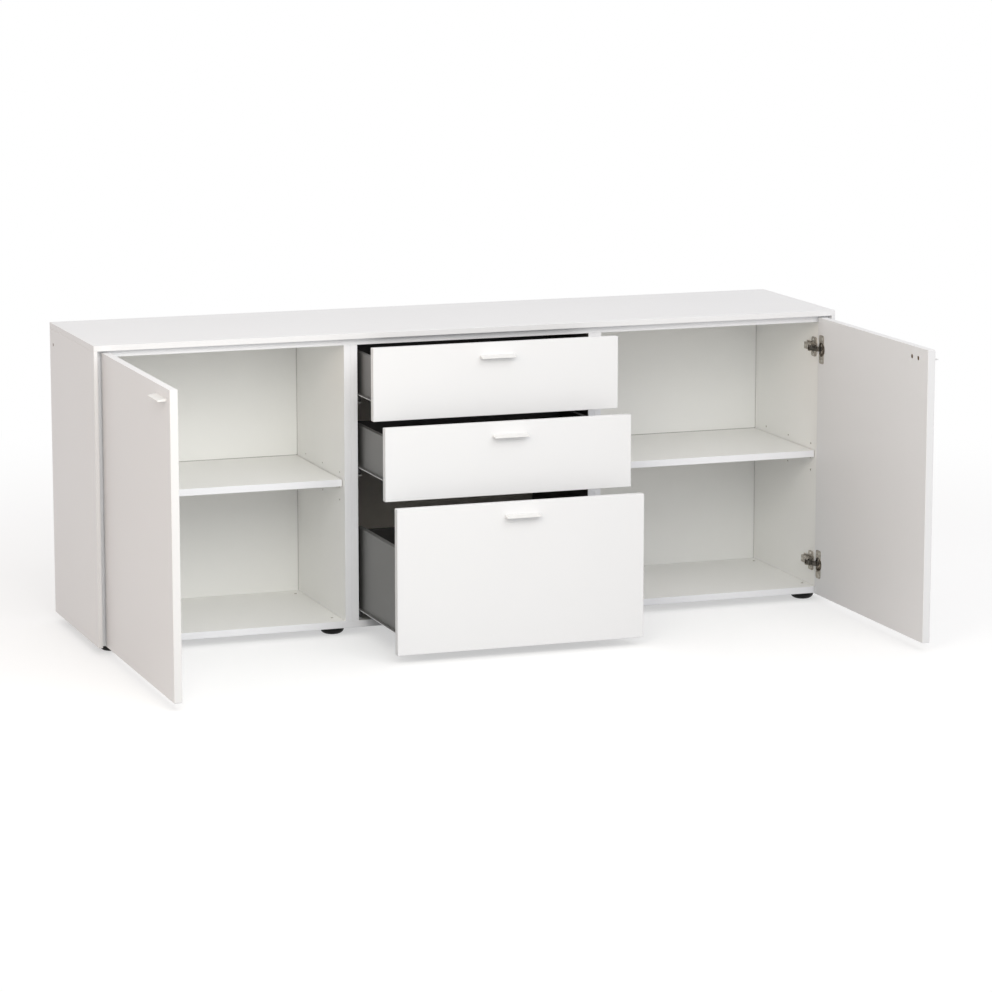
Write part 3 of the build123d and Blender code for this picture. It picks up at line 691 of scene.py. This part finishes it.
# %% Put the screws into hinges and doors
plate_screw = dict(head_radius=0.0036, head_height=0.0016, shank_radius=0.002, shank_length=0.010)
cup_screw = dict(head_radius=0.0036, head_height=0.0005, shank_radius=0.002, shank_length=0.010)
handle_screw = dict(head_radius=0.0038, head_height=0.0026, shank_radius=0.0016, shank_length=0.0185)
setting_screw = dict(head_radius=0.0034, head_height=0.0009, shank_radius=0.0022, shank_length=0.003)
hinge_heights = (0.095, 0.6135)
plate_face, plate_y, plate_screw_rise = 0.866, 0.12402, 0.017
cup_face, cup_screw_y, cup_screw_rise = 0.8613, 0.06298, 0.026
tail_face, tail_ys = 0.857, (0.1365, 0.1505)
door_handle_x, door_handle_ys, door_handle_z = 0.8685, (-0.44948, -0.41748), 0.6639
turns = [0.35 + 1.1 * step for step in range(4)]
setting_turn = 0.5

plates, setters = bmesh.new(), bmesh.new()
for side, s in (("left", -1), ("right", 1)):
    inwards = (-s, 0, 0)
    doors = bmesh.new()
    for level, z in enumerate(hinge_heights):
        for step, up in enumerate((-1, 1)):
            turn = turns[2 * level + step] * s
            plate_seat = (s * plate_face, plate_y, z + up * plate_screw_rise)
            cup_seat = (s * cup_face, cup_screw_y, z + up * cup_screw_rise)
            tail_seat = (s * tail_face, tail_ys[step], z)
            cut_screw(plates, plate_seat, inwards, turn, **plate_screw)
            cut_screw(doors, cup_seat, inwards, -turn, **cup_screw)
            cut_screw(setters, tail_seat, inwards, turn + setting_turn, **setting_screw)
    for step, y in enumerate(door_handle_ys):
        cut_screw(doors, (s * door_handle_x, y, door_handle_z), inwards, turns[step], **handle_screw)
    make_piece(side + "_door_cross_screws", doors, zinc, side + "_door", "fixing_steel", side + "_door_screws")
make_piece("hinge_plate_cross_screws", plates, zinc, "cabinet", "fixing_steel", "hinge_screws")
make_piece("hinge_setting_screws", setters, zinc, "cabinet", "fixing_steel")

# %% [markdown]
# A drawer handle is held in the same way, by two screws from inside the drawer. Their height and depth come
# from the solid screws, whose heads are the part that lies furthest back.

# %% Put the screws into the drawer fronts
drawer_handle_xs = (-0.016, 0.016)
for drawer in drawers:
    low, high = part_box(drawer + "_drawer_screws")
    seat_y = high.y - handle_screw["head_height"]
    seat_z = (low.z + high.z) / 2
    screws = bmesh.new()
    for step, x in enumerate(drawer_handle_xs):
        cut_screw(screws, (x, seat_y, seat_z), (0, 1, 0), turns[step + 2], **handle_screw)
    make_piece(drawer + "_drawer_cross_screws", screws, zinc, drawer + "_drawer", "fixing_steel",
               drawer + "_drawer_screws")

# %% [markdown]
# ## Rollers
#
# The solids' rollers are plain discs. Moulded ones have a hub, a thinner web and a tyre with round edges.
# Half of that outline is spun about the axle, and the two rims are then bevelled.


# %% Spin a roller
bore, hub, hub_slope = 0.00255, 0.0042, 0.0004
tyre_height, tyre_slope, dish = 0.0018, 0.0003, 0.0011
roller_steps, rim_round, spare = 40, 0.0007, 0.00001


def spin_roller(group, s, inner, outer, middle, radius):
    bm = bmesh.new()
    tyre = radius - tyre_height
    half = [(inner, bore), (inner, hub), (inner + dish, hub + hub_slope), (inner + dish, tyre - tyre_slope),
            (inner, tyre), (inner, radius)]
    outline = half + [(inner + outer - x, away) for x, away in reversed(half)]
    corners = [bm.verts.new((s * x, middle.y + away, middle.z)) for x, away in outline]
    edges = [bm.edges.new(pair) for pair in zip(corners, corners[1:] + corners[:1])]
    bmesh.ops.spin(bm, geom=corners + edges, cent=(0, middle.y, middle.z), axis=(1, 0, 0),
                   angle=2 * math.pi, steps=roller_steps, use_merge=True)
    on_rim = {v for v in bm.verts if math.hypot(v.co.y - middle.y, v.co.z - middle.z) > radius - spare}
    rims = [edge for edge in bm.edges if edge.verts[0] in on_rim and edge.verts[1] in on_rim
            and abs(edge.verts[0].co.x - edge.verts[1].co.x) < spare]
    bmesh.ops.bevel(bm, geom=rims, offset=rim_round, segments=3, profile=0.5, affect="EDGES", material=-1)
    add_to(group, bm)


print("rollers are spun in", roller_steps, "steps")

# %% [markdown]
# Each drawer runs on a pair of front rollers, which turn on the cabinet, and a pair of rear ones on the drawer
# itself. Every pair takes its size and place from the solid pair that it stands for.

# %% Put the rollers on
roller_inner = 0.2716
for drawer in drawers:
    for end in ("front", "rear"):
        node = f"{drawer}_{end}_rollers"
        low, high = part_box(node)
        middle = (low + high) / 2
        radius = (high.z - low.z) / 2
        rollers = bmesh.new()
        for s in (-1, 1):
            spin_roller(rollers, s, roller_inner, high.x, middle, radius)
        make_piece(f"{drawer}_{end}_moulded_rollers", rollers, roller_moulding, f"{drawer}_{end}_roller_pair",
                   "roller_plastic", node)
